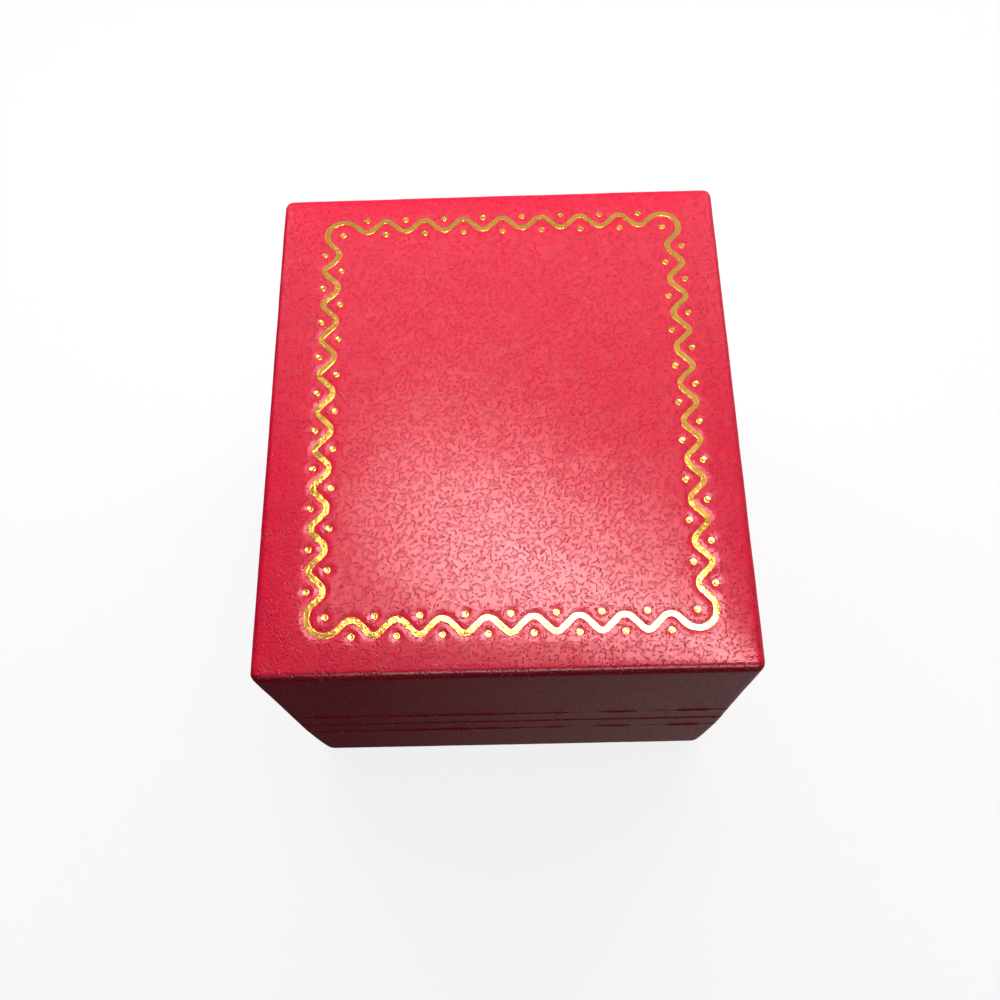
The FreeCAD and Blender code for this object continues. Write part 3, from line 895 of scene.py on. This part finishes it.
def inflated(name, form, pinned, pressure, cap):
    """Cloth blown up from a block by simulation; returns its mesh in millimetres."""
    form.transform(Matrix.Scale(SIM_SCALE * MM, 4))
    cover = bpy.data.objects.new(name, form)
    bpy.context.scene.collection.objects.link(cover)
    remesh = cover.modifiers.new("remesh", "REMESH")
    remesh.mode = "VOXEL"
    remesh.voxel_size = VOXEL * SIM_SCALE * MM
    cover.data = evaluated_mesh(cover)
    cover.modifiers.clear()
    start = mesh_points(cover.data)
    held = cover.vertex_groups.new(name="held")
    height = start[:, 2] / (SIM_SCALE * MM)
    for index in np.nonzero(pinned(height))[0]:
        held.add([int(index)], 1.0, "REPLACE")
    cloth = cover.modifiers.new("cloth", "CLOTH")
    settings = cloth.settings
    settings.quality = 6
    settings.mass = 0.2
    settings.tension_stiffness = 12
    settings.compression_stiffness = 12
    settings.shear_stiffness = 4
    settings.bending_stiffness = 0.4
    settings.shrink_min = -0.05
    settings.use_pressure = True
    settings.uniform_pressure_force = pressure
    settings.vertex_group_mass = "held"
    settings.effector_weights.gravity = 0
    cloth.collision_settings.use_collision = False
    for number in range(1, FRAMES + 1):
        bpy.context.scene.frame_set(number)
    blown = mesh_points(evaluated_mesh(cover))
    bpy.context.scene.frame_set(1)
    cover.modifiers.clear()
    move = blown - start
    length = np.linalg.norm(move, axis=1) + 1e-9
    limit = cap * SIM_SCALE * MM
    start = start + move * (limit * np.tanh(length / limit) / length)[:, None]
    set_points(cover.data, start / (SIM_SCALE * MM))
    mesh = cover.data
    bpy.data.objects.remove(cover)
    return mesh


def kept_clear_of(points, node, gap):
    """Points moved out of a CAD node, to stand at least that far from it."""
    inner = frame["nodes"][node].data
    tree = BVHTree.FromPolygons(
        [v.co / MM for v in inner.vertices], [p.vertices[:] for p in inner.polygons])
    result = points.copy()
    for index, point in enumerate(points):
        place, normal, _, _ = tree.find_nearest(Vector(point))
        if (Vector(point) - place).dot(normal) < gap:
            result[index] = place + normal * gap
    return result


def soft_piece(name, mesh, points, material, body, node):
    """Finished pad: one subdivision, then its material and body."""
    set_points(mesh, points * MM)
    mesh.polygons.foreach_set("use_smooth", [True] * len(mesh.polygons))
    made = bpy.data.objects.new(name, mesh)
    bpy.context.scene.collection.objects.link(made)
    finer = made.modifiers.new("finer", "SUBSURF")
    finer.levels = 1
    made.data = evaluated_mesh(made)
    made.modifiers.clear()
    made.data.materials.clear()
    made.data.materials.append(material)
    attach(made, body)
    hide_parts(node)
    return made


def ring_roll(place, material):
    """One velvet roll of the ring pad, pressed against the other along the slot."""
    node = "ring_pad_" + place + "_velvet"
    low, high = node_box(node)
    facing = 1 if place == "front" else -1
    start_low = low + np.array([0.35, 0.35, 0.0])
    start_high = high - np.array([0.35, 0.35, 0.45])
    mesh = inflated("roll_" + place, block_mesh(start_low, start_high, 3.6, 1.8, 1),
                    lambda height: height < low[2] + 3.0, 5.0, 1.1)
    points = mesh_points(mesh)
    dents = 0.12 * value_noise(points, 8.0, 21) + 0.05 * value_noise(points, 2.5, 22)
    points[:, 2] += dents * smooth_step(points[:, 2], high[2] - 4, high[2] - 1)
    points = kept_clear_of(points, "ring_pad_" + place + "_foam", 0.2)
    slot_room = 0.37
    lowest = low + np.array([0.02, 0.02 if facing > 0 else -slot_room, 0.0])
    highest = high + np.array([-0.02, slot_room if facing > 0 else -0.02, 0.9])
    points = np.clip(points, lowest, highest)
    soft_piece("ring_pad_" + place + "_roll", mesh, points, material, "base", node)


def lid_cushion(material):
    """Satin cushion under the lid's top, gathered along its edges."""
    low, high = node_box("lid_pad_satin")
    start_low = low + np.array([0.3, 0.3, 0.7])
    start_high = high - np.array([0.3, 0.3, 0.0])
    mesh = inflated("cushion", block_mesh(start_low, start_high, 3.0, 1.6, -1),
                    lambda height: height > high[2] - 1.2, 6.0, 1.3)
    points = mesh_points(mesh)
    from_edge = np.array([high[0], high[1]]) - np.abs(points[:, :2])
    nearest = from_edge.min(axis=1)
    along = np.where(from_edge[:, 0] < from_edge[:, 1], points[:, 1], points[:, 0])
    wander = 2.2 * value_noise(points, 6.0, 31)
    folds = np.sin((along + wander) * 2 * math.pi / 3.1)
    reach = smooth_step(-nearest, -7.0, -0.5) * smooth_step(-points[:, 2], -high[2] + 0.3, -low[2])
    points[:, 2] -= 0.20 * folds * reach * (0.6 + 0.6 * value_noise(points, 5.0, 32))
    points = kept_clear_of(points, "lid_pad_foam", 0.12)
    points = np.clip(points, low + np.array([0.02, 0.02, -0.6]), high - np.array([0.02, 0.02, 0.0]))
    soft_piece("lid_cushion", mesh, points, material, "lid", "lid_pad_satin")


# Covered strips

def strip_mesh(low, high, radius, step):
    """Points and faces of a rounded bar along its longer level side."""
    size = high - low
    axis = 0 if size[0] > size[1] else 1
    across = 1 - axis
    half = size / 2
    centre = (low + high) / 2
    quarter = np.radians(np.linspace(0, 90, 5))
    up_count = max(2, int(size[2] / step))
    rises = np.linspace(-half[2] + radius, half[2] - radius, up_count)
    outline = []
    for corner, (side, level) in enumerate(((1, 1), (-1, 1), (-1, -1), (1, -1))):
        turns = quarter if side * level > 0 else quarter[::-1]
        for turn in turns:
            outline.append((side * (half[across] - radius), level * (half[2] - radius),
                            side * math.cos(turn), level * math.sin(turn)))
        if corner % 2:
            for rise in (rises[::1] if corner == 3 else rises[::-1])[1:-1]:
                outline.append((side * (half[across] - radius), rise, side, 0.0))
    stations = [(-half[axis] + radius - radius * math.sin(t), math.cos(t)) for t in quarter[::-1]]
    middle = np.linspace(-half[axis] + radius, half[axis] - radius, max(3, int(size[axis] / step)))
    stations += [(place, 1.0) for place in middle[1:-1]]
    stations += [(half[axis] - radius + radius * math.sin(t), math.cos(t)) for t in quarter]
    points = []
    for place, share in stations:
        for flat, rise, out_flat, out_up in outline:
            point = np.zeros(3)
            point[axis] = place
            point[across] = flat + radius * share * out_flat
            point[2] = rise + radius * share * out_up
            points.append(centre + point)
    count = len(outline)
    faces = []
    for number in range(len(stations) - 1):
        for i in range(count):
            j = (i + 1) % count
            a, b = number * count, (number + 1) * count
            quad = (a + i, a + j, b + j, b + i)
            faces.append(quad if axis == 1 else quad[::-1])
    first = tuple(range(count))
    last = tuple(range(len(points) - count, len(points)))
    faces.append(first[::-1] if axis == 1 else first)
    faces.append(last if axis == 1 else last[::-1])
    return np.array(points), faces


def covered_strip(node, body, material, seed):
    """Card strip with its cloth wrapped round it, slightly uneven."""
    low, high = node_box(node)
    points, faces = strip_mesh(low, high, 0.33, 0.7)
    centre = (low + high) / 2
    thin = 0 if high[0] - low[0] < high[1] - low[1] else 1
    loose = 0.05 * (1 + value_noise(points, 5.0, seed)) / 2
    loose += 0.02 * (1 + value_noise(points, 1.6, seed + 1)) / 2
    points[:, thin] -= np.sign(points[:, thin] - centre[thin]) * loose
    strip = mesh_object(node.replace("lining", "lining_strip"), points, faces, material)
    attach(strip, body)
    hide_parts(node)


# Hinge spring

def spring_strip(material):
    """Thin bowed strip."""
    low, high = node_box("snap_spring")
    thickness = 0.25
    reach = 4.0
    bow = high[1] - low[1] - thickness
    bow_r = (reach ** 2 + bow ** 2) / (2 * bow)
    half_angle = math.asin(reach / bow_r)
    foot_y = high[1] - thickness / 2
    line = [(foot_y, low[2])]
    for angle in np.linspace(-half_angle, half_angle, 41):
        line.append((foot_y - bow + bow_r * (1 - math.cos(angle)), SEAM_Z + bow_r * math.sin(angle)))
    line.append((foot_y, high[2]))
    line = np.array(line)
    tangent = np.gradient(line, axis=0)
    tangent = tangent / np.linalg.norm(tangent, axis=1)[:, None]
    normal = np.stack([-tangent[:, 1], tangent[:, 0]], axis=1)
    half_x = (high[0] - low[0]) / 2
    soft = 0.08
    outline = [(-half_x, 0.0)]
    outline += [(x, thickness / 2) for x in np.linspace(-half_x + soft, half_x - soft, 9)]
    outline += [(half_x, 0.0)]
    outline += [(x, -thickness / 2) for x in np.linspace(half_x - soft, -half_x + soft, 9)]
    points = []
    for (y, z), (out_y, out_z) in zip(line, normal):
        for x, rise in outline:
            points.append((x, y + out_y * rise, z + out_z * rise))
    count = len(outline)
    faces = []
    for number in range(len(line) - 1):
        for i in range(count):
            j = (i + 1) % count
            a, b = number * count, (number + 1) * count
            faces.append((a + i, b + i, b + j, a + j))
    faces.append(tuple(range(count)))
    faces.append(tuple(range(len(points) - count, len(points)))[::-1])
    strip = mesh_object("spring_strip", points, faces, material)
    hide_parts("snap_spring")
    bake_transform(strip)


def dress(material, *nodes):
    """Gives CAD nodes a material."""
    for node in nodes:
        made = frame["nodes"][node]
        made.data.materials.clear()
        made.data.materials.append(material)


bpy.context.scene.view_settings.view_transform = "Standard"
make_camera()
make_world(front=0.036, back=0.42, right=0.25, seen=0.95)
make_floor()
area_light("left_key", (-0.20, 0.20, 0.17), BOX_MIDDLE, (0.16, 0.16), 0.16)
area_light("right_key", (0.20, 0.20, 0.17), BOX_MIDDLE, (0.16, 0.16), 0.16)
area_light("back_key", (0.0, 0.09, 0.13), BOX_MIDDLE, (0.20, 0.05), 0.198, "glossy")
area_light("overhead", (0.0, -0.05, 0.30), BOX_MIDDLE, (0.12, 0.06), 0.03)
area_light("sheen", (0.030, 0.040, 0.30), (0, 0, 0.04), (0.19, 0.038), 1.08, "diffuse")
area_light("front_glint", (0.04, -0.20, 0.19), (0, -0.0275, 0.025), (0.20, 0.04), 0.5, "diffuse")

leather = leatherette()
lid_leatherette(leather)
base_leatherette(leather)
gold = gold_foil()
foil_wave(gold)
foil_dots(gold)

pile = velvet()
ring_roll("front", pile)
ring_roll("back", pile)
silk = satin()
lid_cushion(silk)
for number, side in enumerate(("front", "back", "left", "right")):
    covered_strip("base_lining_" + side, "base", pile, 40 + 4 * number)
    covered_strip("lid_lining_" + side, "lid", silk, 60 + 4 * number)

spring_strip(steel("spring_steel", (0.42, 0.43, 0.45, 1), (0.62, 0.63, 0.66, 1), 0.18))
plated = steel("hinge_steel", (0.60, 0.47, 0.24, 1), (0.82, 0.70, 0.44, 1), 0.22)
dress(plated, "base_hinge_leaf", "lid_hinge_leaf", "base_hinge_rivets", "lid_hinge_rivets", "hinge_pin")
dress(moulded_plastic(), "base_shell", "lid_shell")
dress(leather_paper(), "bottom_panel")
dress(grey_card(), "ring_pad_card", "lid_pad_card")
dress(open_foam(), "ring_pad_front_foam", "ring_pad_back_foam", "lid_pad_foam")

# The inside would be dark in the open box, whose front is in shade, so it has a fill light of its own.
outside = ("floor", "gold", "lid_leather", "base_leather")
inside = [piece for piece in bpy.data.objects
          if piece.type == "MESH" and not piece.name.startswith(outside)]
inside_fill = area_light("inside_fill", (0.0, -0.36, 0.26), (0, 0.01, 0.045), (0.34, 0.22), 1.1)
lights_only(inside_fill, inside)
